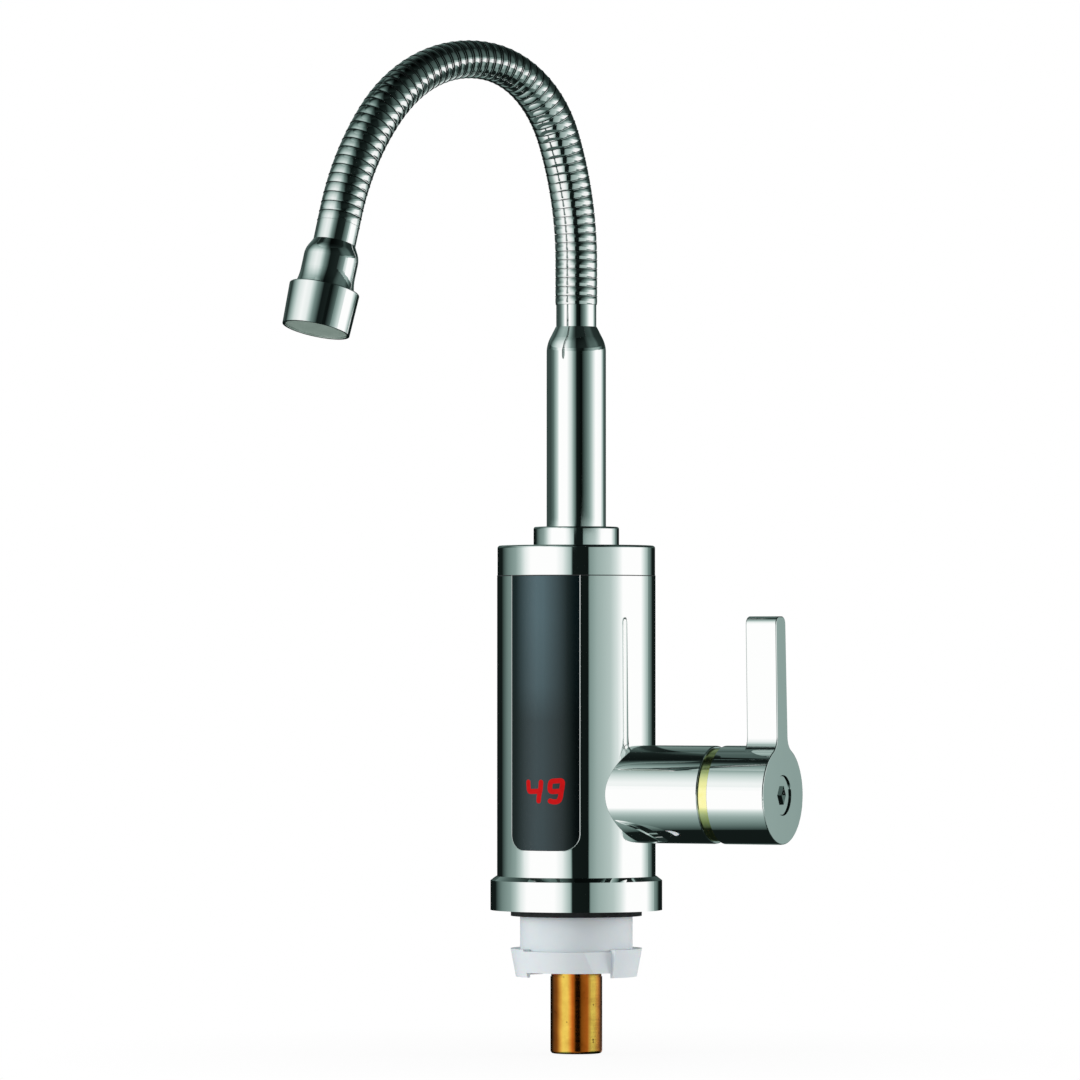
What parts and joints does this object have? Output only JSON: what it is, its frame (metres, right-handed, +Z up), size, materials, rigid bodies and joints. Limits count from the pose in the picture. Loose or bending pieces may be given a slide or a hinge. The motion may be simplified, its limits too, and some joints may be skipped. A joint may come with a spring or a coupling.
{
  "type": "electric hot water tap",
  "caption": "Deck-mounted instant-heating tap: chrome body with a display, swivelling ribbed gooseneck spout, side lever valve, lock nut and inlet pipe.",
  "frame": {"origin": "on the body's axis in the plane of the deck, under the gasket", "axes": "+Z up along the body, display towards -Y, valve and lever towards +X"},
  "size_m": [0.1502, 0.1594, 0.3808],
  "materials": {
    "chrome": "polished",
    "hose_steel": "polished strip",
    "white_nylon": "moulded, slightly translucent",
    "black_rubber": "matt",
    "golden_metal": "drawn tube",
    "brass": "turned",
    "grey_plastic": "moulded",
    "dark_lens": "satin, tinted",
    "board": "solder mask",
    "black_plastic": "moulded",
    "heat_plastic": "glass-filled",
    "steel": "plain",
    "ceramic": "lapped",
    "clear_tube": "extruded"
  },
  "bodies": {
    "tap_body": {"base_flange": "chrome", "deck_gasket": "black_rubber", "threaded_shank": "white_nylon", "cable_grommet": "black_rubber", "inlet_pipe": "golden_metal", "pipe_seal": "black_rubber", "water_block": "heat_plastic", "chassis_screws": "steel", "feed_tube": "golden_metal", "microswitch": "grey_plastic", "heating_chamber": "heat_plastic", "chamber_seal": "black_rubber", "chamber_lid": "heat_plastic", "lid_screws": "steel", "heating_element": "steel", "thermal_cutout": "black_plastic", "temperature_sensor": "steel", "body_shell": "chrome", "display_lens": "dark_lens", "top_cap": "chrome", "control_board": "board", "display_module": "black_plastic", "power_relay": "black_plastic", "valve_body": "brass", "valve_sleeve": "chrome", "cartridge_body": "grey_plastic", "fixed_disc": "ceramic", "bonnet_nut": "brass", "swivel_collar": "chrome", "slip_ring": "grey_plastic"},
    "lever": {"lever_handle": "chrome", "cartridge_stem": "brass", "turning_disc": "ceramic", "handle_screw": "chrome"},
    "spout": {"spout_tube": "chrome", "spout_o_rings": "black_rubber", "lower_ferrule": "chrome", "hose_segment_1": "hose_steel", "water_tube": "clear_tube"},
    "neck_2": {"hose_segment_2": "hose_steel"},
    "neck_3": {"hose_segment_3": "hose_steel"},
    "neck_4": {"hose_segment_4": "hose_steel"},
    "neck_5": {"hose_segment_5": "hose_steel"},
    "neck_6": {"hose_segment_6": "hose_steel"},
    "outlet": {"hose_segment_7": "hose_steel", "upper_ferrule": "chrome", "outlet_adapter": "chrome", "aerator_housing": "chrome", "aerator_gasket": "black_rubber", "aerator_insert": "grey_plastic"},
    "nut": {"lock_nut": "white_nylon"},
    "plunger": {"switch_plunger": "grey_plastic"}
  },
  "joints": [
    {"name": "spout_swivel", "type": "hinge", "parent": "tap_body", "child": "spout", "pos_m": [0, 0, 0.1406], "axis": [0, 0, 1], "continuous": true},
    {"name": "neck_bend_1", "type": "hinge", "parent": "spout", "child": "neck_2", "pos_m": [-0.00032, -0.00071, 0.26131], "axis": [0.9135, -0.4067, 0], "range_deg": [-6, 6], "deforming": ["water_tube"]},
    {"name": "neck_bend_2", "type": "hinge", "parent": "neck_2", "child": "neck_3", "pos_m": [-0.00314, -0.00705, 0.29113], "axis": [0.9135, -0.4067, 0], "range_deg": [-6, 6]},
    {"name": "neck_bend_3", "type": "hinge", "parent": "neck_3", "child": "neck_4", "pos_m": [-0.01068, -0.02398, 0.31476], "axis": [0.9135, -0.4067, 0], "range_deg": [-6, 6]},
    {"name": "neck_bend_4", "type": "hinge", "parent": "neck_4", "child": "neck_5", "pos_m": [-0.02271, -0.05102, 0.32045], "axis": [0.9135, -0.4067, 0], "range_deg": [-6, 6]},
    {"name": "neck_bend_5", "type": "hinge", "parent": "neck_5", "child": "neck_6", "pos_m": [-0.03422, -0.07686, 0.30947], "axis": [0.9135, -0.4067, 0], "range_deg": [-6, 6]},
    {"name": "neck_bend_6", "type": "hinge", "parent": "neck_6", "child": "outlet", "pos_m": [-0.0422, -0.09478, 0.28618], "axis": [0.9135, -0.4067, 0], "range_deg": [-6, 6]},
    {"name": "lever_turn", "type": "hinge", "parent": "tap_body", "child": "lever", "pos_m": [0.0745, -0.0022, 0.0462], "axis": [1, 0, 0], "range_deg": [-90, 90]},
    {"name": "nut_travel", "type": "slide", "parent": "tap_body", "child": "nut", "axis": [0, 0, 1], "range_m": [-0.008, 0.0095]},
    {"name": "plunger_lift", "type": "slide", "parent": "tap_body", "child": "plunger", "axis": [0, 0, 1], "range_m": [0, 0.0012], "stiffness_N_per_m": 300}
  ],
  "couplings": [
    {"joint": "neck_bend_2", "follows": "neck_bend_1", "ratio": 1},
    {"joint": "neck_bend_3", "follows": "neck_bend_1", "ratio": 1},
    {"joint": "neck_bend_4", "follows": "neck_bend_1", "ratio": 1},
    {"joint": "neck_bend_5", "follows": "neck_bend_1", "ratio": 1},
    {"joint": "neck_bend_6", "follows": "neck_bend_1", "ratio": 1}
  ]
}
